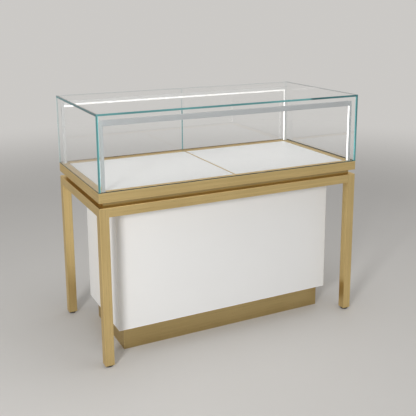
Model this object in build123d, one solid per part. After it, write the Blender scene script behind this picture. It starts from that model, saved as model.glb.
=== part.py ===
from build123d import *
import os

# Glass-topped counter display case: a gold leg frame carries a glazed case, a white cabinet hangs inside it.
# Millimetres. X runs along the counter, -Y is the customer's side, +Z is up, the floor is at zero.

# Whole counter
counter_length = 1200.0
counter_depth = 590.0
counter_height = 1022.0

# Clearance of a shaft that turns or slides in its hole, on the radius
running_fit = 0.08

# Leg frame of square tube
leg_tube = 38.0
tube_wall = 2.0
tube_edge = 2.0
leg_frame_top = 660.0
leg_clear_of_floor = 8.0
leg_end_plate = 4.0

# Adjustable feet
foot_pad_radius = 15.0
foot_pad_play = 0.5
foot_pad_edge = 1.5
foot_stud_radius = 4.0
foot_stud_above_plate = 24.0

# Recessed spacer between the leg frame and the case
spacer_height = 20.0
spacer_width = 20.0
spacer_inset = 22.0
cross_bar_width = 38.0
cross_bar_offset = 300.0

# Base frame of the glass case
case_rail_width = 40.0
case_rail_height = 40.0
floor_thickness = 6.0
beam_width = 28.0
beam_height = 20.0
strip_width = 4.0
strip_below_rail_top = 0.5

# Glazing
glass_thickness = 8.0
glass_arris = 0.5
seal_thickness = 1.5
seal_setback = 0.4
pane_gap = 1.5

# Light frames inside the case
light_inset = 26.0
post_size = 12.0
post_foot_size = 16.0
post_foot_height = 3.0
light_wall = 1.2
light_edge = 0.6
bar_height = 22.0
bar_below_top = 28.0
bar_diffuser_height = 7.0
diffuser_thickness = 2.0
led_strip_width = 6.0
led_strip_thickness = 1.5
wire_hole_radius = 2.5

# Pull-out decks with their rear panels
deck_thickness = 10.0
deck_below_rail_top = 1.0
deck_gap = 1.5
deck_edge = 0.8
batten_width = 12.0
batten_clear_of_floor = 4.0
stop_gap = 0.5
drawer_front_wall = 2.0
drawer_front_drop = 1.0
drawer_front_edge = 1.0

# Three-part ball runners under the decks
runner_height = 17.0
runner_above_floor = 3.0
runner_wall = 1.2
runner_play = 0.5
runner_width = 10.5
runner_end_gap = 14.0

# Cam locks in the rear panels of the decks
lock_radius = 8.0
lock_setback = 0.2
lock_spindle_radius = 4.0
cam_width = 10.0
cam_thickness = 2.5
cam_into_floor = 4.0
cam_from_front = 8.5
cam_slot_play = 1.5
keyway_width = 1.6
keyway_length = 8.0
keyway_depth = 3.0

# White cabinet
cabinet_clear_of_legs = 52.0
board = 18.0
corner_radius = 3.0
fascia_height = 58.0
door_gap = 3.0
shelf_above_bottom = 242.0
shelf_end_gap = 2.0
shelf_setback = 15.0
pin_radius = 2.5
pin_play = 0.05
pin_in_board = 8.0
pin_out_of_board = 10.0
pin_row_inset = 95.0
pin_pitch = 32.0
pin_rows = 5

# Gold plinth under the cabinet
plinth_height = 100.0
plinth_inset = 27.0
gland_from_plinth_end = 103.0
gland_height = 50.0
gland_radius = 10.0
gland_flange_radius = 14.0
gland_flange = 4.0
gland_bore_radius = 4.0

# Butt hinges on the cabinet's rear doors
hinge_height = 60.0
hinge_from_door_end = 80.0
hinge_leaf = 1.5
hinge_leaf_width = 17.0
knuckle_radius = 3.0
knuckle_gap = 0.5
hinge_pin_radius = 1.8
hinge_pin_play = 0.07
leaf_clear_of_knuckle = 0.7
screw_radius = 1.6
screw_head_radius = 3.0
screw_length = 12.0
screw_play = 0.1
screw_spacing = 36.0

# Locking knobs on the cabinet's rear doors
knob_offset = 45.0
knob_below_door_top = 21.0
knob_radius = 14.0
knob_thickness = 12.0
knob_edge = 2.0
knob_neck_radius = 9.0
knob_neck = 8.0
knob_spindle_radius = 5.0
knob_clear_of_door = 0.4
knob_cam_over_fascia = 6.0
knob_cam_clear_of_door = 1.0

# Light switch and driver
switch_width = 15.0
switch_height = 22.0
switch_body_depth = 26.0
switch_bezel = 2.0
switch_bezel_thickness = 2.0
rocker_width = 11.0
rocker_height = 17.0
rocker_half_thickness = 3.0
rocker_play = 0.5
rocker_tilt = 8.0
rocker_below_rim = 3.0
rocker_pin_radius = 1.2
rocker_pin_in_wall = 1.0
driver_clear_of_side = 10.0
driver_length = 140.0
driver_width = 46.0
driver_height = 28.0
driver_from_centre = 60.0
driver_ear = 12.0
driver_ear_thickness = 3.0
driver_edge = 2.0

# Bolts through case floor, cross bars and cabinet top
bolt_radius = 4.0
bolt_play = 0.5
bolt_offset = 120.0
bolt_head_radius = 7.0
bolt_head = 3.5
nut_across_flats = 13.0
nut_height = 6.5
bolt_past_nut = 2.5

# Levels and planes that follow from the sizes above
half_length = counter_length / 2
half_depth = counter_depth / 2
rail_bottom = leg_frame_top - leg_tube
base_bottom = leg_frame_top + spacer_height
base_top = base_bottom + case_rail_height
floor_top = base_bottom + floor_thickness
glass_bottom = base_top + seal_thickness
under_top_glass = counter_height - glass_thickness
case_inner_x = half_length - case_rail_width
case_inner_y = half_depth - case_rail_width
floor_rear = case_inner_y - stop_gap
bar_top = counter_height - bar_below_top
bar_bottom = bar_top - bar_height
post_x = half_length - light_inset
post_y = half_depth - light_inset
deck_top = base_top - deck_below_rail_top
deck_bottom = deck_top - deck_thickness
drawer_bottom = base_bottom + drawer_front_drop
lock_level = (drawer_bottom + base_top) / 2
lock_x = case_inner_x / 2
runner_low = floor_top + runner_above_floor
runner_high = runner_low + runner_height
runner_y = (-case_inner_y + runner_end_gap, floor_rear - runner_end_gap)
cabinet_x = half_length - leg_tube - cabinet_clear_of_legs
cabinet_y = half_depth - leg_tube - cabinet_clear_of_legs
cabinet_inner_x = cabinet_x - board
cabinet_inner_y = cabinet_y - board
cabinet_top_low = leg_frame_top - board
cabinet_floor_top = plinth_height + board
shelf_level = cabinet_floor_top + shelf_above_bottom
fascia_bottom = leg_frame_top - fascia_height
door_low = cabinet_floor_top + door_gap
door_high = fascia_bottom - door_gap
plinth_x = cabinet_x - plinth_inset
plinth_y = cabinet_y - plinth_inset
hinge_x = cabinet_inner_x - door_gap / 2
hinge_y = cabinet_y + knuckle_radius
hinge_levels = (door_low + hinge_from_door_end, door_high - hinge_from_door_end)
knob_level = door_high - knob_below_door_top
switch_level = (fascia_bottom + cabinet_top_low) / 2
driver_x = -cabinet_inner_x + driver_clear_of_side + driver_ear + driver_length / 2
switch_x = driver_x
gland_x = -plinth_x + gland_from_plinth_end
sides = {"left": -1, "right": 1}
ends = {"front": -1, "rear": 1}


def span(a, b):
    return (min(a, b), max(a, b))


def pairs():
    # The four corners, as a side (left or right) and an end (front or rear).
    return [(side, end) for side in (-1, 1) for end in (-1, 1)]


def block(x, y, z):
    size = Box(x[1] - x[0], y[1] - y[0], z[1] - z[0])
    return Pos((x[0] + x[1]) / 2, (y[0] + y[1]) / 2, (z[0] + z[1]) / 2) * size


def rounded_block(x, y, z, along, radius):
    solid = block(x, y, z)
    return fillet(solid.edges().filter_by(along), radius)


def tube(x, y, z, along, wall, radius, cap=0.0):
    # A rectangular tube, closed at its far end when a cap thickness is given.
    ranges = {Axis.X: x, Axis.Y: y, Axis.Z: z}
    bore = []
    for axis, (low, high) in ranges.items():
        bore.append((low, high - cap) if axis == along else (low + wall, high - wall))
    return rounded_block(x, y, z, along, radius) - block(*bore)


def prism(points, z):
    outline = Plane.XY.offset(z[0]) * Polygon(*points, align=None)
    return extrude(outline, amount=z[1] - z[0], dir=(0, 0, 1))


def rod(x, z, radius, y):
    # A round bar along Y.
    bar = Cylinder(radius, y[1] - y[0])
    return Pos(x, (y[0] + y[1]) / 2, z) * Rot(X=90) * bar


def upright(x, y, radius, z):
    # A round bar along Z.
    return Pos(x, y, (z[0] + z[1]) / 2) * Cylinder(radius, z[1] - z[0])


def group(pieces):
    solids = []
    for piece in pieces:
        solids.extend(piece.solids())
    return Compound(solids)


# Leg frame


def leg(side, end):
    x = span(side * half_length, side * (half_length - leg_tube))
    y = span(end * half_depth, end * (half_depth - leg_tube))
    shaft = rounded_block(x, y, (leg_clear_of_floor, rail_bottom), Axis.Z, tube_edge)
    head = block(x, y, (rail_bottom, leg_frame_top))
    corner = head.edges().filter_by(Axis.Z).sort_by(lambda e: side * e.center().X + end * e.center().Y)[-1]
    top_edges = head.faces().sort_by(Axis.Z)[-1].edges()
    side_edge = top_edges.sort_by(lambda e: side * e.center().X)[-1]
    end_edge = top_edges.sort_by(lambda e: end * e.center().Y)[-1]
    head = fillet([corner, side_edge, end_edge], tube_edge)
    bore_x = (x[0] + tube_wall, x[1] - tube_wall)
    bore_y = (y[0] + tube_wall, y[1] - tube_wall)
    plate_top = leg_clear_of_floor + leg_end_plate
    bore = block(bore_x, bore_y, (plate_top, leg_frame_top - tube_wall))
    thread = upright(*foot_place(side, end), foot_stud_radius + running_fit, (0, plate_top + tube_wall))
    return shaft + head - bore - thread


def foot_place(side, end):
    return side * (half_length - leg_tube / 2), end * (half_depth - leg_tube / 2)


def foot(side, end):
    x, y = foot_place(side, end)
    pad_top = leg_clear_of_floor - foot_pad_play
    pad = upright(x, y, foot_pad_radius, (0, pad_top))
    pad = fillet(pad.edges().group_by(Axis.Z)[-1], foot_pad_edge)
    stud_top = leg_clear_of_floor + leg_end_plate + foot_stud_above_plate
    stud = upright(x, y, foot_stud_radius, (pad_top / 2, stud_top))
    return pad + stud


def leg_rail_long(end):
    x = (-half_length + leg_tube, half_length - leg_tube)
    y = span(end * half_depth, end * (half_depth - leg_tube))
    return tube(x, y, (rail_bottom, leg_frame_top), Axis.X, tube_wall, tube_edge)


def leg_rail_short(side):
    x = span(side * half_length, side * (half_length - leg_tube))
    y = (-half_depth + leg_tube, half_depth - leg_tube)
    return tube(x, y, (rail_bottom, leg_frame_top), Axis.Y, tube_wall, tube_edge)


# Spacer


def spacer_bar_long(end):
    outer_x = half_length - spacer_inset
    outer_y = half_depth - spacer_inset
    y = span(end * outer_y, end * (outer_y - spacer_width))
    z = (leg_frame_top, base_bottom)
    bar = tube((-outer_x, outer_x), y, z, Axis.X, tube_wall, tube_wall / 2)
    inner_x = outer_x - spacer_width
    inner_y = outer_y - spacer_width
    plan = [(-outer_x, end * outer_y), (outer_x, end * outer_y)]
    plan = plan + [(inner_x, end * inner_y), (-inner_x, end * inner_y)]
    return bar & prism(plan, z)


def spacer_bar_short(side):
    outer_x = half_length - spacer_inset
    outer_y = half_depth - spacer_inset
    x = span(side * outer_x, side * (outer_x - spacer_width))
    z = (leg_frame_top, base_bottom)
    bar = tube(x, (-outer_y, outer_y), z, Axis.Y, tube_wall, tube_wall / 2)
    inner_x = outer_x - spacer_width
    inner_y = outer_y - spacer_width
    plan = [(side * outer_x, -outer_y), (side * outer_x, outer_y)]
    plan = plan + [(side * inner_x, inner_y), (side * inner_x, -inner_y)]
    return bar & prism(plan, z)


def bolt_places():
    return [(side * cross_bar_offset, end * bolt_offset) for side, end in pairs()]


def bolt_holes(z):
    holes = [upright(x, y, bolt_radius + bolt_play, z) for x, y in bolt_places()]
    return group(holes)


def cross_bar(side):
    middle = side * cross_bar_offset
    x = (middle - cross_bar_width / 2, middle + cross_bar_width / 2)
    reach = half_depth - spacer_inset - spacer_width
    z = (leg_frame_top, base_bottom)
    return tube(x, (-reach, reach), z, Axis.Y, tube_wall, tube_wall / 2) - bolt_holes(z)


def frame_bolt(x, y):
    tip = cabinet_top_low - nut_height - bolt_past_nut
    head = upright(x, y, bolt_head_radius, (floor_top, floor_top + bolt_head))
    head = fillet(head.edges().group_by(Axis.Z)[-1], bolt_head / 3)
    shank = upright(x, y, bolt_radius, (tip, floor_top))
    return head + shank


def frame_nut(x, y):
    outline = RegularPolygon(nut_across_flats / 2, 6, major_radius=False)
    nut = extrude(Plane.XY.offset(cabinet_top_low - nut_height) * Pos(x, y) * outline, amount=nut_height)
    hole = upright(x, y, bolt_radius + running_fit, (cabinet_top_low - nut_height, cabinet_top_low))
    return nut - hole


# Base frame of the case


def wire_holes():
    z = (base_top - tube_wall * 2, base_top + tube_wall)
    return group([upright(side * post_x, end * post_y, wire_hole_radius, z) for side, end in pairs()])


def corner_trim(side, end):
    # What is taken off a sharp vertical corner of the base frame to round it.
    z = (base_bottom, base_top)
    x = span(side * half_length, side * (half_length - tube_edge))
    y = span(end * half_depth, end * (half_depth - tube_edge))
    kept = upright(side * (half_length - tube_edge), end * (half_depth - tube_edge), tube_edge, z)
    return block(x, y, z) - kept


def case_rail_front():
    z = (base_bottom, base_top)
    rail = tube((-half_length, half_length), (-half_depth, -case_inner_y), z, Axis.X, tube_wall, tube_edge)
    plan = [(-half_length, -half_depth), (half_length, -half_depth)]
    plan = plan + [(case_inner_x, -case_inner_y), (-case_inner_x, -case_inner_y)]
    return (rail & prism(plan, z)) - corner_trim(-1, -1) - corner_trim(1, -1) - wire_holes()


def case_rail_side(side):
    x = span(side * half_length, side * case_inner_x)
    z = (base_bottom, base_top)
    rail = tube(x, (-half_depth, half_depth), z, Axis.Y, tube_wall, tube_edge, cap=tube_wall)
    plan = [(side * half_length, -half_depth), (side * case_inner_x, -case_inner_y)]
    plan = plan + [(side * case_inner_x, half_depth), (side * half_length, half_depth)]
    return (rail & prism(plan, z)) - corner_trim(side, -1) - corner_trim(side, 1) - wire_holes()


def cam_slots():
    slots = []
    for side in (-1, 1):
        x = (side * lock_x - cam_width / 2 - cam_slot_play, side * lock_x + cam_reach())
        y = (cam_plane()[0] - cam_slot_play, cam_plane()[1] + cam_slot_play)
        slots.append(block(x, y, (base_bottom, floor_top)))
    return group(slots)


def case_floor():
    z = (base_bottom, floor_top)
    panel = block((-case_inner_x, case_inner_x), (-case_inner_y, floor_rear), z)
    return panel - bolt_holes(z) - cam_slots()


def centre_beam():
    x = (-beam_width / 2, beam_width / 2)
    z = (floor_top, floor_top + beam_height)
    return tube(x, (-case_inner_y, floor_rear), z, Axis.Y, tube_wall, tube_wall / 2)


def deck_centre_strip():
    x = (-strip_width / 2, strip_width / 2)
    z = (floor_top + beam_height, base_top - strip_below_rail_top)
    return block(x, (-case_inner_y, floor_rear), z)


# Glazing


def pane(x, y, z):
    solid = block(x, y, z)
    return chamfer(solid.edges(), glass_arris)


def glass_front():
    inner = half_length - glass_thickness
    y = (-half_depth, -half_depth + glass_thickness)
    return pane((-inner, inner), y, (glass_bottom, under_top_glass))


def glass_side(side):
    x = span(side * half_length, side * (half_length - glass_thickness))
    return pane(x, (-half_depth, half_depth), (glass_bottom, under_top_glass))


def glass_top():
    return pane((-half_length, half_length), (-half_depth, half_depth), (under_top_glass, counter_height))


def glass_seals():
    inner = half_length - glass_thickness
    z = (base_top, glass_bottom)
    front = block((-inner, inner), (-half_depth + seal_setback, -half_depth + glass_thickness), z)
    strips = [front]
    for side in (-1, 1):
        x = span(side * (half_length - seal_setback), side * inner)
        strips.append(block(x, (-half_depth + seal_setback, half_depth - seal_setback), z))
    return group(strips)


# Light frames


def light_post(side, end):
    x = (side * post_x - post_size / 2, side * post_x + post_size / 2)
    y = (end * post_y - post_size / 2, end * post_y + post_size / 2)
    post = rounded_block(x, y, (base_top, bar_top), Axis.Z, light_edge)
    mouth = side * (post_x - post_size / 2)
    back = side * (post_x + post_size / 2 - light_wall)
    slot_y = (y[0] + light_wall, y[1] - light_wall)
    slot = block(span(mouth, back), slot_y, (base_top + post_foot_height, bar_top - light_wall))
    reach = post_foot_size / 2
    foot_x = (side * post_x - reach, side * post_x + reach)
    foot_y = (end * post_y - reach, end * post_y + reach)
    plate = rounded_block(foot_x, foot_y, (base_top, base_top + post_foot_height), Axis.Z, light_edge)
    hole = upright(side * post_x, end * post_y, wire_hole_radius, (base_top, base_top + post_foot_height))
    return (post - slot) + plate - hole


def post_diffuser(side, end):
    mouth = side * (post_x - post_size / 2)
    x = span(mouth, mouth + side * diffuser_thickness)
    reach = post_size / 2 - light_wall
    y = (end * post_y - reach, end * post_y + reach)
    return block(x, y, (base_top + post_foot_height, bar_bottom))


def post_led_strip(side, end):
    back = side * (post_x + post_size / 2 - light_wall)
    x = span(back, back - side * led_strip_thickness)
    reach = led_strip_width / 2
    y = (end * post_y - reach, end * post_y + reach)
    return block(x, y, (base_top + post_foot_height, bar_bottom))


def bar_x():
    return (-post_x + post_size / 2, post_x - post_size / 2)


def light_bar(end):
    inner = end * (post_y - post_size / 2)
    outer = end * (post_y + post_size / 2)
    bar = rounded_block(bar_x(), span(inner, outer), (bar_bottom, bar_top), Axis.X, light_edge)
    slot_z = (bar_bottom + light_wall, bar_bottom + light_wall + bar_diffuser_height)
    slot = block(bar_x(), span(inner, outer - end * light_wall), slot_z)
    hollow_y = span(inner + end * light_wall, outer - end * light_wall)
    hollow = block(bar_x(), hollow_y, (slot_z[1] + light_wall, bar_top - light_wall))
    return bar - slot - hollow


def bar_diffuser(end):
    inner = end * (post_y - post_size / 2)
    z = (bar_bottom + light_wall, bar_bottom + light_wall + bar_diffuser_height)
    return block(bar_x(), span(inner, inner + end * diffuser_thickness), z)


def bar_led_strip(end):
    back = end * (post_y + post_size / 2 - light_wall)
    middle = bar_bottom + light_wall + bar_diffuser_height / 2
    z = (middle - led_strip_width / 2, middle + led_strip_width / 2)
    return block(bar_x(), span(back, back - end * led_strip_thickness), z)


# Pull-out decks


def deck_x(side):
    return span(side * (strip_width / 2 + deck_gap), side * (case_inner_x - deck_gap))


def runner_faces(side):
    # Where the two runners of a deck are fixed, and which way the runner grows from there.
    return [(side * case_inner_x, -side), (side * beam_width / 2, side)]


def deck(side):
    y = (-case_inner_y + deck_gap, case_inner_y)
    panel = block(deck_x(side), y, (deck_bottom, deck_top))
    pieces = [fillet(panel.faces().sort_by(Axis.Z)[-1].edges(), deck_edge)]
    for face, inward in runner_faces(side):
        near = face + inward * runner_width
        x = span(near, near + inward * batten_width)
        pieces.append(block(x, runner_y, (floor_top + batten_clear_of_floor, deck_bottom)))
    return group(pieces)


def drawer_front_x(side):
    return span(side * pane_gap / 2, side * (case_inner_x - pane_gap))


def drawer_front(side):
    x = drawer_front_x(side)
    y = (case_inner_y, half_depth)
    body = block(x, y, (drawer_bottom, base_top))
    rear_edges = body.faces().sort_by(Axis.Y)[-1].edges().filter_by(Axis.Z)
    body = fillet(rear_edges, drawer_front_edge)
    wall = drawer_front_wall
    hollow_x = (x[0] + wall, x[1] - wall)
    hollow_y = (y[0] + wall, y[1] - wall)
    body = body - block(hollow_x, hollow_y, (drawer_bottom, base_top - wall))
    seat = block(x, (half_depth - glass_thickness, half_depth - drawer_front_edge), (base_top, glass_bottom))
    return body + seat - rod(side * lock_x, lock_level, lock_radius + running_fit, y)


def rear_glass(side):
    x = span(side * pane_gap / 2, side * (half_length - glass_thickness - pane_gap))
    return pane(x, (half_depth - glass_thickness, half_depth), (glass_bottom, under_top_glass - pane_gap))


def channel(face, inward, near, far, z, web_near):
    # A runner member: a C section lying on its side, with its web near to or far from the fixed face.
    outer = block(span(face + inward * near, face + inward * far), runner_y, z)
    inner = (near + runner_wall, far) if web_near else (near, far - runner_wall)
    pocket_x = span(face + inward * inner[0], face + inward * inner[1])
    return outer - block(pocket_x, runner_y, (z[0] + runner_wall, z[1] - runner_wall))


def runner_step():
    return runner_wall + runner_play


def runner_outer(side):
    z = (runner_low, runner_high)
    far = runner_width - runner_step()
    return [channel(face, inward, 0, far, z, True) for face, inward in runner_faces(side)]


def runner_middle(side):
    step = runner_step()
    z = (runner_low + step, runner_high - step)
    far = runner_width - step
    return [channel(face, inward, step, far, z, True) for face, inward in runner_faces(side)]


def runner_inner(side):
    step = 2 * runner_step()
    z = (runner_low + step, runner_high - step)
    return [channel(face, inward, step, runner_width, z, False) for face, inward in runner_faces(side)]


def cam_reach():
    return lock_level - floor_top + cam_into_floor


def cam_plane():
    rear = case_inner_y - cam_from_front
    return (rear - cam_thickness, rear)


def drawer_lock(side):
    x = side * lock_x
    plug = rod(x, lock_level, lock_radius, (case_inner_y, half_depth - lock_setback))
    spindle = rod(x, lock_level, lock_spindle_radius, (cam_plane()[0], case_inner_y))
    cam_x = (x - cam_width / 2, x + cam_reach())
    cam = block(cam_x, cam_plane(), (lock_level - cam_width / 2, lock_level + cam_width / 2))
    key_x = (x - keyway_length / 2, x + keyway_length / 2)
    key_z = (lock_level - keyway_width / 2, lock_level + keyway_width / 2)
    keyway = block(key_x, (half_depth - lock_setback - keyway_depth, half_depth), key_z)
    return plug + spindle + cam - keyway


# Cabinet


def cabinet_front():
    z = (plinth_height, leg_frame_top)
    outline = RectangleRounded(2 * cabinet_x, 2 * cabinet_y, corner_radius)
    body = extrude(Plane.XY.offset(z[0]) * outline, amount=z[1] - z[0])
    return body & block((-cabinet_x, cabinet_x), (-cabinet_y, -cabinet_inner_y), z)


def pin_row_places():
    reach = cabinet_y - pin_row_inset
    levels = [shelf_level - pin_radius + pin_pitch * (k - pin_rows // 2) for k in range(pin_rows)]
    return [(end * reach, level) for end in (-1, 1) for level in levels]


def cabinet_side(side):
    x = span(side * cabinet_x, side * cabinet_inner_x)
    panel = block(x, (-cabinet_inner_y, cabinet_y), (plinth_height, leg_frame_top))
    hole_x = side * (cabinet_inner_x + pin_in_board / 2)
    for y, level in pin_row_places():
        hole = Cylinder(pin_radius + pin_play, pin_in_board)
        panel = panel - Pos(hole_x, y, level) * Rot(Y=90) * hole
    for x, level in leaf_screw_places(side, True):
        panel = panel - screw_hole(x, level)
    return panel


def fitted_board(z, rear):
    # A board between the cabinet's sides that ends at the given rear plane.
    return block((-cabinet_inner_x, cabinet_inner_x), (-cabinet_inner_y, rear), z)


def cabinet_top():
    z = (cabinet_top_low, leg_frame_top)
    return fitted_board(z, cabinet_inner_y) - bolt_holes(z)


def cabinet_fascia():
    board_x = (-cabinet_inner_x, cabinet_inner_x)
    strip = block(board_x, (cabinet_inner_y, cabinet_y), (fascia_bottom, leg_frame_top))
    x = (switch_x - switch_width / 2, switch_x + switch_width / 2)
    z = (switch_level - switch_height / 2, switch_level + switch_height / 2)
    return strip - block(x, (cabinet_inner_y, cabinet_y), z)


def shelf():
    reach = cabinet_inner_x - shelf_end_gap
    y = (-cabinet_inner_y + shelf_setback, cabinet_inner_y - shelf_setback)
    return block((-reach, reach), y, (shelf_level, shelf_level + board))


def shelf_pin(side, end):
    middle = side * (cabinet_inner_x + (pin_in_board - pin_out_of_board) / 2)
    pin = Rot(Y=90) * Cylinder(pin_radius, pin_in_board + pin_out_of_board)
    return Pos(middle, end * (cabinet_y - pin_row_inset), shelf_level - pin_radius) * pin


def door(side):
    x = span(side * door_gap / 2, side * (cabinet_inner_x - door_gap))
    panel = block(x, (cabinet_inner_y, cabinet_y), (door_low, door_high))
    bore = knob_spindle_radius + running_fit
    panel = panel - rod(side * knob_offset, knob_level, bore, (cabinet_inner_y, cabinet_y))
    for screw_x, level in leaf_screw_places(side, False):
        panel = panel - screw_hole(screw_x, level)
    return panel


# Hinges


def leaf_middle(side, fixed):
    away = knuckle_radius + leaf_clear_of_knuckle
    outward = 1 if fixed else -1
    return side * (hinge_x + outward * (away + (hinge_leaf_width - away) / 2))


def leaf_screw_places(side, fixed):
    x = leaf_middle(side, fixed)
    return [(x, level + step * screw_spacing / 2) for level in hinge_levels for step in (-1, 1)]


def screw_hole(x, level):
    return rod(x, level, screw_radius + screw_play, (cabinet_y - screw_length, cabinet_y))


def leaf_screw(x, level):
    head = rod(x, level, screw_head_radius, (cabinet_y, cabinet_y + hinge_leaf))
    shank = rod(x, level, screw_radius, (cabinet_y - screw_length, cabinet_y))
    return head + shank


def knuckle_spans(level, fixed):
    # A third of the hinge's height turns with the door, and the thirds above and below it stay.
    third = hinge_height / 3
    if not fixed:
        return [(level - third / 2, level + third / 2)]
    reach = hinge_height / 2
    inner = third / 2 + knuckle_gap
    return [(level - reach, level - inner), (level + inner, level + reach)]


def hinge_leaf_plate(side, level, fixed):
    outward = 1 if fixed else -1
    y = (cabinet_y, cabinet_y + hinge_leaf)
    near = knuckle_radius + leaf_clear_of_knuckle
    x = span(side * (hinge_x + outward * near), side * (hinge_x + outward * hinge_leaf_width))
    leaf = block(x, y, (level - hinge_height / 2, level + hinge_height / 2))
    for z in knuckle_spans(level, fixed):
        neck = block(span(side * hinge_x, side * (hinge_x + outward * near)), y, z)
        leaf = leaf + neck + upright(side * hinge_x, hinge_y, knuckle_radius, z)
    for screw_x, screw_level in leaf_screw_places(side, fixed):
        leaf = leaf - rod(screw_x, screw_level, screw_head_radius, y)
    full = (level - hinge_height / 2, level + hinge_height / 2)
    if fixed:
        return leaf + upright(side * hinge_x, hinge_y, hinge_pin_radius, full)
    return leaf - upright(side * hinge_x, hinge_y, hinge_pin_radius + hinge_pin_play, full)


def hinge_half(side, fixed):
    pieces = [hinge_leaf_plate(side, level, fixed) for level in hinge_levels]
    return pieces + [leaf_screw(x, level) for x, level in leaf_screw_places(side, fixed)]


# Locking knob


def door_knob(side):
    x = side * knob_offset
    base = cabinet_y + knob_clear_of_door
    neck = rod(x, knob_level, knob_neck_radius, (base, base + knob_neck))
    grip = rod(x, knob_level, knob_radius, (base + knob_neck, base + knob_neck + knob_thickness))
    grip = fillet(grip.edges().filter_by(GeomType.CIRCLE), knob_edge)
    cam_rear = cabinet_inner_y - knob_cam_clear_of_door
    spindle = rod(x, knob_level, knob_spindle_radius, (cam_rear, base))
    reach = fascia_bottom + knob_cam_over_fascia - knob_level
    cam_x = span(x - side * cam_width / 2, x + side * reach)
    cam_z = (knob_level - cam_width / 2, knob_level + cam_width / 2)
    cam = block(cam_x, (cam_rear - cam_thickness, cam_rear), cam_z)
    tip = base + knob_neck + knob_thickness
    key_x = (x - keyway_length / 2, x + keyway_length / 2)
    key_z = (knob_level - keyway_width / 2, knob_level + keyway_width / 2)
    return neck + grip + spindle + cam - block(key_x, (tip - keyway_depth, tip), key_z)


# Plinth


def plinth_boards():
    z = (0, plinth_height)
    boards = []
    for end in (-1, 1):
        y = span(end * plinth_y, end * (plinth_y - board))
        boards.append(block((-plinth_x, plinth_x), y, z))
    boards[1] = boards[1] - rod(gland_x, gland_height, gland_radius, (plinth_y - board, plinth_y))
    for side in (-1, 1):
        x = span(side * plinth_x, side * (plinth_x - board))
        boards.append(block(x, (-plinth_y + board, plinth_y - board), z))
    return group(boards)


def cable_gland():
    flange_y = (plinth_y, plinth_y + gland_flange)
    nut_y = (plinth_y - board - gland_flange, plinth_y - board)
    flange = rod(gland_x, gland_height, gland_flange_radius, flange_y)
    flange = fillet(flange.edges().group_by(Axis.Y)[-1], gland_flange / 3)
    body = rod(gland_x, gland_height, gland_radius, (plinth_y - board, plinth_y))
    nut = rod(gland_x, gland_height, gland_flange_radius, nut_y)
    bore = rod(gland_x, gland_height, gland_bore_radius, (nut_y[0], flange_y[1]))
    return flange + body + nut - bore


# Light switch and driver


def switch_housing():
    x = switch_x
    half_width = switch_width / 2
    half_height = switch_height / 2
    body_z = (switch_level - half_height, switch_level + half_height)
    body = block((x - half_width, x + half_width), (cabinet_y - switch_body_depth, cabinet_y), body_z)
    rim = switch_bezel
    rim_x = (x - half_width - rim, x + half_width + rim)
    rim_z = (body_z[0] - rim, body_z[1] + rim)
    bezel = rounded_block(rim_x, (cabinet_y, cabinet_y + switch_bezel_thickness), rim_z, Axis.Y, rim / 2)
    pocket_width = rocker_width / 2 + rocker_play
    pocket_height = rocker_height / 2 + 2 * rocker_play
    pocket_y = (rocker_pivot() - 2 * rocker_half_thickness, cabinet_y + switch_bezel_thickness)
    pocket_z = (switch_level - pocket_height, switch_level + pocket_height)
    housing = body + bezel - block((x - pocket_width, x + pocket_width), pocket_y, pocket_z)
    return housing - rocker_pin(rocker_pin_radius + running_fit, rocker_pin_in_wall + running_fit)


def rocker_pin(radius, into_wall):
    # The pivot pin of the rocker, or its hole, along X through both walls of the pocket.
    length = rocker_width + 2 * (rocker_play + into_wall)
    return Pos(switch_x, rocker_pivot(), switch_level) * Rot(Y=90) * Cylinder(radius, length)


def rocker_pivot():
    return cabinet_y + switch_bezel_thickness - rocker_below_rim


def switch_rocker():
    # Two sloping faces meet at the middle, and the whole rocker rests tipped towards its lower half.
    half = rocker_height / 2
    deep = rocker_half_thickness
    profile = [(-deep, -half), (deep, -half), (deep / 3, 0), (deep, half), (-deep, half)]
    face = make_face(Polyline(*profile, close=True))
    bar = extrude(Plane.YZ.offset(-rocker_width / 2) * face, amount=rocker_width)
    body = Pos(switch_x, rocker_pivot(), switch_level) * Rot(X=rocker_tilt) * bar
    return body + rocker_pin(rocker_pin_radius, rocker_pin_in_wall)


def led_driver():
    x = (driver_x - driver_length / 2, driver_x + driver_length / 2)
    y = (driver_from_centre - driver_width / 2, driver_from_centre + driver_width / 2)
    box = rounded_block(x, y, (cabinet_top_low - driver_height, cabinet_top_low), Axis.X, driver_edge)
    ear_z = (cabinet_top_low - driver_ear_thickness, cabinet_top_low)
    box = box + block((x[0] - driver_ear, x[1] + driver_ear), y, ear_z)
    for hole_x in (x[0] - driver_ear / 2, x[1] + driver_ear / 2):
        box = box - upright(hole_x, driver_from_centre, screw_radius + screw_play, ear_z)
    return box


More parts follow.
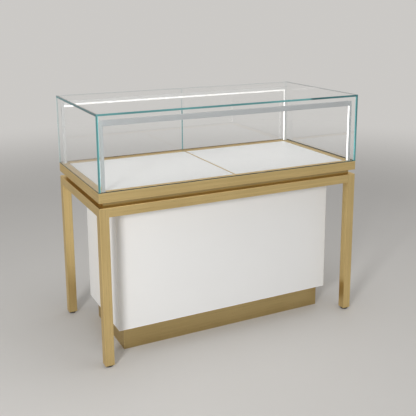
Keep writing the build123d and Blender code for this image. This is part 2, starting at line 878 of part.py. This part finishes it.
nodes = {
    "leg_rails_long": group([leg_rail_long(end) for end in (-1, 1)]),
    "leg_rails_short": group([leg_rail_short(side) for side in (-1, 1)]),
    "spacer_bars": group([make(place) for make in (spacer_bar_long, spacer_bar_short) for place in (-1, 1)]),
    "cross_bars": group([cross_bar(side) for side in (-1, 1)]),
    "frame_bolts": group([make(x, y) for x, y in bolt_places() for make in (frame_bolt, frame_nut)]),
    "case_rail_front": case_rail_front(),
    "case_rails_side": group([case_rail_side(side) for side in (-1, 1)]),
    "case_floor": case_floor(),
    "centre_beam": centre_beam(),
    "deck_centre_strip": deck_centre_strip(),
    "runner_outer_members": group(runner_outer(-1) + runner_outer(1)),
    "glass_front": glass_front(),
    "glass_top": glass_top(),
    "glass_base_seals": glass_seals(),
    "light_posts": group([light_post(*place) for place in pairs()]),
    "light_bars": group([light_bar(end) for end in (-1, 1)]),
    "light_diffusers": group([post_diffuser(*at) for at in pairs()] + [bar_diffuser(-1), bar_diffuser(1)]),
    "led_strips": group([post_led_strip(*at) for at in pairs()] + [bar_led_strip(-1), bar_led_strip(1)]),
    "led_driver": led_driver(),
    "switch_housing": switch_housing(),
    "switch_rocker": switch_rocker(),
    "cabinet_front": cabinet_front(),
    "cabinet_top": cabinet_top(),
    "cabinet_fascia": cabinet_fascia(),
    "cabinet_bottom": fitted_board((plinth_height, cabinet_floor_top), cabinet_y),
    "shelf": shelf(),
    "shelf_pins": group([shelf_pin(*place) for place in pairs()]),
    "hinge_fixed_leaves": group(hinge_half(-1, True) + hinge_half(1, True)),
    "plinth_boards": plinth_boards(),
    "cable_gland": cable_gland(),
}
for side_name, side in sides.items():
    nodes["glass_" + side_name] = glass_side(side)
    nodes["deck_" + side_name] = deck(side)
    nodes["drawer_front_" + side_name] = drawer_front(side)
    nodes["drawer_lock_" + side_name] = drawer_lock(side)
    nodes["rear_glass_" + side_name] = rear_glass(side)
    nodes["runner_middle_" + side_name] = group(runner_middle(side))
    nodes["runner_inner_" + side_name] = group(runner_inner(side))
    nodes["cabinet_side_" + side_name] = cabinet_side(side)
    nodes["cabinet_door_" + side_name] = door(side)
    nodes["hinge_moving_leaves_" + side_name] = group(hinge_half(side, False))
    nodes["door_knob_" + side_name] = door_knob(side)
    for end_name, end in ends.items():
        nodes["leg_" + end_name + "_" + side_name] = leg(side, end)
        nodes["foot_" + end_name + "_" + side_name] = foot(side, end)

os.makedirs("parts", exist_ok=True)
for name, shape in nodes.items():
    export_step(shape, "parts/" + name + ".step")
print(len(nodes), "nodes written")
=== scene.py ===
import math

import bpy
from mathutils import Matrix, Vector


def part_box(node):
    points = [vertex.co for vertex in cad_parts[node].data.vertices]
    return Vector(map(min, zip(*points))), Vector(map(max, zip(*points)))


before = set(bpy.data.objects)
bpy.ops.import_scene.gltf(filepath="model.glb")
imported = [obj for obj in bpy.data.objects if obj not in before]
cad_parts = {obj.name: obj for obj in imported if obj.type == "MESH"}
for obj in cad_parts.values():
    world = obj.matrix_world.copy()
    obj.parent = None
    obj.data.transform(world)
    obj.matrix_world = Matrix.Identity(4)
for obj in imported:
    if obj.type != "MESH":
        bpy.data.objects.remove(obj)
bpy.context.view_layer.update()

print("frame loaded,", len(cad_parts), "nodes")
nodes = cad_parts


class Wire:
    # one socket that adds, multiplies and mixes like a number
    def __init__(self, paint, socket):
        self.paint = paint
        self.socket = socket

    def maths(self, operation, first, second=None):
        values = {0: first} if second is None else {0: first, 1: second}
        return self.paint.add("ShaderNodeMath", {"operation": operation}, values)

    def __add__(self, other): return self.maths("ADD", self, other)
    def __radd__(self, other): return self.maths("ADD", other, self)
    def __sub__(self, other): return self.maths("SUBTRACT", self, other)
    def __rsub__(self, other): return self.maths("SUBTRACT", other, self)
    def __mul__(self, other): return self.maths("MULTIPLY", self, other)
    def __rmul__(self, other): return self.maths("MULTIPLY", other, self)
    def __pow__(self, other): return self.maths("POWER", self, other)
    def __gt__(self, other): return self.maths("GREATER_THAN", self, other)
    def __lt__(self, other): return self.maths("LESS_THAN", self, other)

    def size(self): return self.maths("ABSOLUTE", self)
    def most(self, other): return self.maths("MAXIMUM", self, other)
    def sine(self): return self.maths("SINE", self)

    def ease(self, low, high, toLow=0.0, toHigh=1.0):
        settings = {"interpolation_type": "SMOOTHSTEP"}
        return self.paint.add("ShaderNodeMapRange", settings, {0: self, 1: low, 2: high, 3: toLow, 4: toHigh})

    def blend(self, dark, light):
        # a colour between two colours, by this value
        settings = {"data_type": "RGBA", "clamp_factor": True}
        return self.paint.add("ShaderNodeMix", settings, {0: self, 6: dark, 7: light}, out=2)


class Paint:
    # a new material, or the world, and its nodes
    def __init__(self, name, shelf=None, ending="ShaderNodeOutputMaterial"):
        self.owner = (bpy.data.materials if shelf is None else shelf).new(name)
        self.owner.use_nodes = True
        self.tree = self.owner.node_tree
        self.tree.nodes.clear()
        self.output = self.tree.nodes.new(ending)

    def add(self, kind, settings=None, sockets=None, out=0):
        made = self.tree.nodes.new(kind)
        for name, value in (settings or {}).items():
            setattr(made, name, value)
        for name, value in (sockets or {}).items():
            socket = made.inputs[name]
            if isinstance(value, Wire):
                self.tree.links.new(value.socket, socket)
            elif isinstance(value, tuple) and socket.type == "RGBA" and len(value) == 3:
                socket.default_value = (*value, 1)
            else:
                socket.default_value = value
        return Wire(self, made.outputs[out])

    def place(self, stretch):
        # object coordinates, in metres, stretched along the axes
        spot = self.add("ShaderNodeTexCoord", out=3)
        return self.add("ShaderNodeMapping", None, {"Vector": spot, "Scale": tuple(stretch)})

    def axes(self):
        spot = self.add("ShaderNodeTexCoord", out=3)
        return [self.add("ShaderNodeSeparateXYZ", None, {0: spot}, out=k) for k in range(3)]

    def noise(self, scale, detail=2.0, stretch=(1, 1, 1), rough=0.5):
        sockets = {"Vector": self.place(stretch), "Scale": scale, "Detail": detail, "Roughness": rough}
        return self.add("ShaderNodeTexNoise", None, sockets)

    def bump(self, height, distance, strength):
        return self.add("ShaderNodeBump", None, {"Height": height, "Distance": distance, "Strength": strength})

    def surface(self, **sockets):
        named = {name.replace("_", " "): value for name, value in sockets.items()}
        return self.add("ShaderNodeBsdfPrincipled", None, named)

    def finish(self, shader):
        self.tree.links.new(shader.socket, self.output.inputs["Surface"])
        return self.owner


# metals: the grain is in streaks per metre
goldLook = {
    "light": (0.880, 0.675, 0.322),
    "dark": (0.720, 0.535, 0.240),
    "grain": 760.0,        # across the brushing
    "along": 6.0,          # and along it
    "roughLow": 0.27,
    "roughHigh": 0.42,
    "depth": 0.00006,
    "rim": (0.98, 0.92, 0.80),
}
shadowLook = {**goldLook, "roughLow": 0.20, "roughHigh": 0.32}
# the spacer and plinth golds are darkened as painted shade of their recesses; the strip's gold is lighter
goldTintsAndShade = {"spacer": 0.61, "plinth": 0.71, "strip": 1.12}
brushing = {
    "fine": 0.45,          # share of each of the three noises in the tone
    "broad": 0.35,
    "cloud": 0.35,
    "broadStretch": 0.12,
    "cloudScale": 3.5,
    "toneFrom": 0.38,
    "toneTo": 0.78,
    "bump": 0.6,
}


def brushed(name, axis, look, tint=1.0):
    # brushed metal with its grain along an axis, or level all round where axis is None
    paint = Paint(name)
    cross, along = look["grain"], look["along"]
    stretch = (along, along, cross) if axis is None else tuple(along if k == axis else cross for k in range(3))
    fine = paint.noise(1.0, 3.0, stretch, 0.6)
    broad = paint.noise(1.0, 2.0, tuple(s * brushing["broadStretch"] for s in stretch))
    cloud = paint.noise(brushing["cloudScale"], 2.0)
    tone = fine * brushing["fine"] + broad * brushing["broad"] + cloud * brushing["cloud"]
    tone = tone.ease(brushing["toneFrom"], brushing["toneTo"])
    dark = tuple(c * tint for c in look["dark"])
    light = tuple(c * tint for c in look["light"])
    colour = tone.blend(dark, light)
    rough = fine.ease(0.3, 0.7, look["roughLow"], look["roughHigh"])
    return paint.finish(paint.surface(Base_Color=colour, Metallic=1.0, Roughness=rough,
                                      Specular_Tint=look.get("rim", (1.0, 1.0, 1.0)),
                                      Normal=paint.bump(fine, look["depth"], brushing["bump"])))


steelLook = {"light": (0.70, 0.71, 0.72), "dark": (0.52, 0.53, 0.54), "grain": 400.0, "along": 8.0,
             "roughLow": 0.25, "roughHigh": 0.42, "depth": 0.00004}
nickelLook = {"light": (0.80, 0.80, 0.80), "dark": (0.66, 0.66, 0.67), "grain": 300.0, "along": 60.0,
              "roughLow": 0.10, "roughHigh": 0.24, "depth": 0.00002}

# paint and lacquer: the peel is the fine orange skin of a sprayed coat
coat = {"weight": 0.25, "rough": 0.12, "cloudScale": 2.2, "bump": 0.5}
veinLook = {"scale": 6.0, "stretch": (1.0, 2.2, 1.0), "rough": 0.62, "width": 0.06}
lacquerLook = {"colour": (0.855, 0.855, 0.85), "shade": (0.838, 0.838, 0.832), "peel": 420.0, "depth": 0.00002,
               "rough": 0.32}
# painted highlight: the lowest few millimetres of the cabinet's front and sides are a brighter white, a lit bottom
# edge
paintedFootHighlight = {"axis": 2, "level": 0.1032, "colour": (0.96, 0.965, 0.97)}
deckLook = {"colour": (0.93, 0.925, 0.925), "shade": (0.895, 0.89, 0.892), "peel": 900.0, "depth": 0.00005,
            "rough": 0.46}
postLook = {"colour": (0.63, 0.64, 0.645), "shade": (0.595, 0.605, 0.61), "peel": 700.0, "depth": 0.00002,
            "rough": 0.34}
# painted shade: the front posts are a darker grey than the rear ones
postFrontShade = {"axis": 1, "level": 0.0, "colour": (0.50, 0.515, 0.525)}
barLook = {**postLook, "colour": (0.74, 0.745, 0.75), "shade": (0.71, 0.715, 0.72)}
# painted shade: the front light bar is a darker, bluer grey than the rear one
barFrontShade = {"axis": 1, "level": 0.0, "colour": (0.46, 0.475, 0.49)}


def lacquered(name, look, veins=0.0, paintedLightBand=None):
    paint = Paint(name)
    cloud = paint.noise(coat["cloudScale"], 4.0)
    peel = paint.noise(look["peel"], 2.0)
    wear = (cloud * 0.8 + peel * 0.2).ease(0.3, 0.7)
    if veins:
        streak = paint.noise(veinLook["scale"], 6.0, veinLook["stretch"], veinLook["rough"])
        streak = (streak - 0.5).size().ease(0.0, veinLook["width"])
        wear = wear * (1 - veins) + streak * veins
    colour = wear.blend(look["shade"], look["colour"])
    if paintedLightBand:
        # painted highlight or painted shade: another colour below a level of one axis
        colour = (paint.axes()[paintedLightBand["axis"]] < paintedLightBand["level"]).blend(colour, paintedLightBand["colour"])
    rough = cloud.ease(0.25, 0.75, look["rough"] + 0.02, look["rough"] - 0.02)
    return paint.finish(paint.surface(Base_Color=colour, Roughness=rough, Coat_Weight=coat["weight"],
                                      Coat_Roughness=coat["rough"],
                                      Normal=paint.bump(peel, look["depth"], coat["bump"])))


plasticLook = {"grain": 1400.0, "cloudScale": 18.0, "depth": 0.00005, "bump": 0.5, "dark": 0.85, "light": 1.1}


def moulded(name, colour, rough=0.45):
    paint = Paint(name)
    grain = paint.noise(plasticLook["grain"], 2.0)
    cloud = paint.noise(plasticLook["cloudScale"], 3.0)
    dark = tuple(c * plasticLook["dark"] for c in colour)
    light = tuple(c * plasticLook["light"] for c in colour)
    tone = (grain * 0.5 + cloud * 0.5).ease(0.3, 0.7).blend(dark, light)
    return paint.finish(paint.surface(Base_Color=tone, Roughness=grain.ease(0.3, 0.7, rough - 0.06, rough + 0.08),
                                      Normal=paint.bump(grain, plasticLook["depth"], plasticLook["bump"])))


glowLook = {
    "cover": (0.92, 0.92, 0.91),
    "rough": 0.35,
    "colour": (1.0, 0.985, 0.955),
    "between": (0.90, 0.885, 0.86),
    "strength": 1.3,
    "pitch": 0.012,        # metres from light point to light point
}


def glowing(name):
    # opal cover with the light points behind it just showing
    paint = Paint(name)
    x, y, z = paint.axes()
    dots = ((x + y + z) * (2 * math.pi / glowLook["pitch"])).sine()
    glow = dots.ease(-1.0, 1.0).blend(glowLook["between"], glowLook["colour"])
    return paint.finish(paint.surface(Base_Color=glowLook["cover"], Roughness=glowLook["rough"],
                                      Emission_Color=glow, Emission_Strength=glowLook["strength"]))


paneLook = {
    "clear": (0.995, 0.998, 0.997),
    # painted light in the narrow faces: a lit and a shaded green, and a painted glow from bright to dim
    "paintedLitGreen": (0.30, 0.60, 0.60),
    "paintedShadedGreen": (0.10, 0.28, 0.29),
    "paintedGlowBright": (0.115, 0.300, 0.300),
    "paintedGlowDim": (0.020, 0.080, 0.085),
    "edge": 0.0012,        # metres inside the narrow face that count as edge
    "edgeRough": 0.12,
    "bend": 1.5,
    "footLine": 0.0013,    # height of the dark line under an upright pane
    "footColour": (0.06, 0.075, 0.07),
    "rearPaintedLight": 0.3,       # how bright the painted light in the rear panes' edges is beside the others
    "highlightFadeFrom": 0.34,
    "highlightFadeTo": 0.36,
    "paintedLightPatch": 2.4,
    "smear": 5.0,
    "smearRough": 0.02,
    "shadow": (0.975, 0.985, 0.98),
}


def pane(node, flat):
    # clear glass whose narrow faces are sea green, with painted light in them: lit and shaded greens and a painted
    # glow; flat is the axis across the pane
    paint = Paint("glass_of_" + node)
    low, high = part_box(node)
    spots = paint.axes()
    edge = None
    for k in (0, 1, 2) if flat == 2 else (0, 1):
        if k == flat:
            continue
        middle, half = (low[k] + high[k]) / 2, (high[k] - low[k]) / 2
        near = (spots[k] - middle).size() > half - paneLook["edge"]
        edge = near if edge is None else edge.most(near)
    # painted light: patches of brighter and dimmer edge, dimmer on the rear panes
    paintedEdgeLight = paint.noise(paneLook["paintedLightPatch"], 2.0).ease(0.35, 0.65) * 0.5 + 0.3
    if node.startswith("rear"):
        paintedEdgeLight = paintedEdgeLight * paneLook["rearPaintedLight"]
    if flat == 2:
        # painted highlight: the top's front edge is brightest over its left two thirds
        paintedEdgeLight = (paintedEdgeLight + 0.35) * spots[0].ease(paneLook["highlightFadeFrom"], paneLook["highlightFadeTo"], 1.0, 0.05)
        paintedEdgeLight = paintedEdgeLight * (spots[0] > low[0] + paneLook["edge"]) * (spots[1] < 0.0)
    green = paintedEdgeLight.blend(paneLook["paintedShadedGreen"], paneLook["paintedLitGreen"])
    # a painted glow in the narrow faces, though the glass is no lamp
    glow = edge.blend((0, 0, 0), paintedEdgeLight.blend(paneLook["paintedGlowDim"], paneLook["paintedGlowBright"]))
    smear = paint.noise(paneLook["smear"], 3.0).ease(0.45, 0.8, 0.0, paneLook["smearRough"])
    colour = edge.blend(paneLook["clear"], green)
    if flat != 2:
        foot = spots[2] < low[2] + paneLook["footLine"]
        colour = foot.blend(colour, paneLook["footColour"])
    body = paint.surface(Base_Color=colour, Roughness=smear + edge * paneLook["edgeRough"], IOR=paneLook["bend"],
                         Transmission_Weight=1.0, Emission_Color=glow, Emission_Strength=1.0)
    # lamps shine through the glass with little loss
    through = paint.add("ShaderNodeBsdfTransparent", None, {"Color": paneLook["shadow"]})
    lamp = paint.add("ShaderNodeLightPath", out=1)
    return paint.finish(paint.add("ShaderNodeMixShader", None, {0: lamp, 1: body, 2: through}))


def dress(material, *names):
    for name in names:
        mesh = nodes[name].data
        mesh.materials.clear()
        mesh.materials.append(material)


def both(*names):
    return [name + "_" + side for name in names for side in ("left", "right")]


legs = both("leg_front", "leg_rear")
feet = both("foot_front", "foot_rear")
dress(brushed("gold_upright", 2, goldLook), *legs)
dress(brushed("gold_along", 0, goldLook), "leg_rails_long", "case_rail_front", *both("drawer_front"))
dress(brushed("gold_across", 1, goldLook), "leg_rails_short", "case_rails_side")
dress(brushed("gold_strip", 1, goldLook, goldTintsAndShade["strip"]), "deck_centre_strip")
# painted shade: the recessed spacer and the plinth under the cabinet get a darker gold
dress(brushed("gold_shadow", None, shadowLook, goldTintsAndShade["spacer"]), "spacer_bars", "cross_bars")
dress(brushed("gold_plinth", None, goldLook, goldTintsAndShade["plinth"]), "plinth_boards")
dress(lacquered("white_lacquer", lacquerLook), "cabinet_top", "cabinet_bottom", "cabinet_fascia", "shelf",
      *both("cabinet_door"))
# the cabinet's front and sides carry the painted highlight along their bottom edge
dress(lacquered("white_lacquer_painted_highlight", lacquerLook, paintedLightBand=paintedFootHighlight), "cabinet_front", *both("cabinet_side"))
dress(lacquered("white_deck", deckLook, 0.35), "case_floor", *both("deck"))
dress(lacquered("white_posts", postLook, paintedLightBand=postFrontShade), "light_posts")
dress(lacquered("white_bars", barLook, paintedLightBand=barFrontShade), "light_bars")
dress(glowing("opal_cover"), "light_diffusers")
dress(moulded("light_tape", (0.85, 0.82, 0.65)), "led_strips")
dress(moulded("dark_seal", (0.055, 0.062, 0.055), 0.6), "glass_base_seals")
dress(moulded("black_plastic", (0.025, 0.025, 0.026)), "switch_housing", "switch_rocker", "cable_gland", *feet)
dress(moulded("grey_plastic", (0.62, 0.63, 0.64)), "led_driver")
dress(brushed("zinc_steel", 1, steelLook), "runner_outer_members", "frame_bolts", "shelf_pins", "centre_beam",
      *both("runner_middle", "runner_inner"))
dress(brushed("nickel", None, nickelLook), "hinge_fixed_leaves",
      *both("hinge_moving_leaves", "door_knob", "drawer_lock"))
for name, flat in (("glass_top", 2), ("glass_front", 1), ("glass_left", 0), ("glass_right", 0),
                   ("rear_glass_left", 1), ("rear_glass_right", 1)):
    dress(pane(name, flat), name)
print("finishes done")


# a plain studio; the camera sees the backdrop, the object is lit by the sky and three lamps
studio = {
    "backdrop": (0.600, 0.585, 0.565),
    "floorColour": (0.62, 0.605, 0.585),
    "floorRadius": 14.0,
    "floorRough": 0.5,
    "floorShine": 0.14,
    "skyColour": (1, 0.995, 0.985),
    "sky": 0.38,
    "fadeFrom": 2.0,
    "fadeTo": 5.5,
    "keyPlace": (-3.0, -3.05, 1.7),
    "keySize": 0.75,
    "keyPower": 106.0,
    "leftPlace": (-3.6, 0.3, 1.5),
    "leftSize": 2.2,
    "leftPower": 9.0,
    "topPlace": (0.6, -0.4, 3.6),
    "topSize": 2.6,
    "topPower": 42.0,
    "lampAim": (0, 0, 0.6),
}


def makeFloor():
    bpy.ops.object.select_all(action="DESELECT")
    bpy.ops.mesh.primitive_circle_add(vertices=96, radius=studio["floorRadius"], fill_type="NGON", location=(0, 0, 0))
    floor = bpy.context.object
    floor.name = "floor"
    paint = Paint("pale_floor")
    x, y, z = paint.axes()
    away = (x * x + y * y) ** 0.5
    cloud = paint.noise(1.3, 4.0)
    colour = cloud.ease(0.3, 0.7).blend(tuple(c * 0.985 for c in studio["floorColour"]), studio["floorColour"])
    near = paint.surface(Base_Color=colour, Roughness=studio["floorRough"],
                         Specular_IOR_Level=studio["floorShine"])
    far = paint.add("ShaderNodeEmission", None, {"Color": studio["backdrop"], "Strength": 1.0})
    fade = away.ease(studio["fadeFrom"], studio["fadeTo"])
    floor.data.materials.append(paint.finish(paint.add("ShaderNodeMixShader", None, {0: fade, 1: near, 2: far})))


def makeSky():
    paint = Paint("studio", bpy.data.worlds, "ShaderNodeOutputWorld")
    camera, through, mirrored = [paint.add("ShaderNodeLightPath", out=name)
                                 for name in ("Is Camera Ray", "Is Transmission Ray", "Is Glossy Ray")]
    light = paint.add("ShaderNodeBackground", None, {"Color": studio["skyColour"], "Strength": studio["sky"]})
    shown = paint.add("ShaderNodeBackground", None, {"Color": studio["backdrop"]})
    seen = camera.most(through).most(mirrored)
    mix = paint.add("ShaderNodeMixShader", None, {0: seen, 1: light, 2: shown})
    bpy.context.scene.world = paint.finish(mix)


def makeLamp(name, place, size, power, mirrored=True):
    lamp = bpy.data.lights.new(name, "AREA")
    lamp.shape = "SQUARE"
    lamp.size = size
    lamp.energy = power
    holder = bpy.data.objects.new(name, lamp)
    bpy.context.scene.collection.objects.link(holder)
    holder.location = place
    holder.rotation_euler = (Vector(studio["lampAim"]) - Vector(place)).to_track_quat("-Z", "Y").to_euler()
    # the lamps themselves aren't seen, also not through the glass
    holder.visible_camera = False
    holder.visible_transmission = False
    holder.visible_glossy = mirrored


view = {
    "place": (-1.3126, -2.7121, 1.4181),
    "yaw": 0.4798,
    "pitch": -0.2137,
    "focal": 683.94,       # in pixels of the 416 pixel picture
    "middle": (227.55, 152.0),
    "picture": 416.0,
    "sensor": 36.0,
}


def makeCamera():
    camera = bpy.data.cameras.new("camera")
    camera.sensor_width = view["sensor"]
    camera.lens = view["focal"] / view["picture"] * camera.sensor_width
    camera.shift_x = (view["picture"] / 2 - view["middle"][0]) / view["picture"]
    camera.shift_y = (view["middle"][1] - view["picture"] / 2) / view["picture"]
    holder = bpy.data.objects.new("camera", camera)
    bpy.context.scene.collection.objects.link(holder)
    holder.location = view["place"]
    holder.rotation_euler = (math.pi / 2 + view["pitch"], 0, -view["yaw"])
    bpy.context.scene.camera = holder


makeFloor()
makeSky()
# mirrored, the key lamp burns a bright streak into the recessed spacer
makeLamp("key", studio["keyPlace"], studio["keySize"], studio["keyPower"], mirrored=False)
makeLamp("left", studio["leftPlace"], studio["leftSize"], studio["leftPower"])
makeLamp("top", studio["topPlace"], studio["topSize"], studio["topPower"])
makeCamera()
bpy.context.scene.view_settings.view_transform = "Standard"
print("studio done")
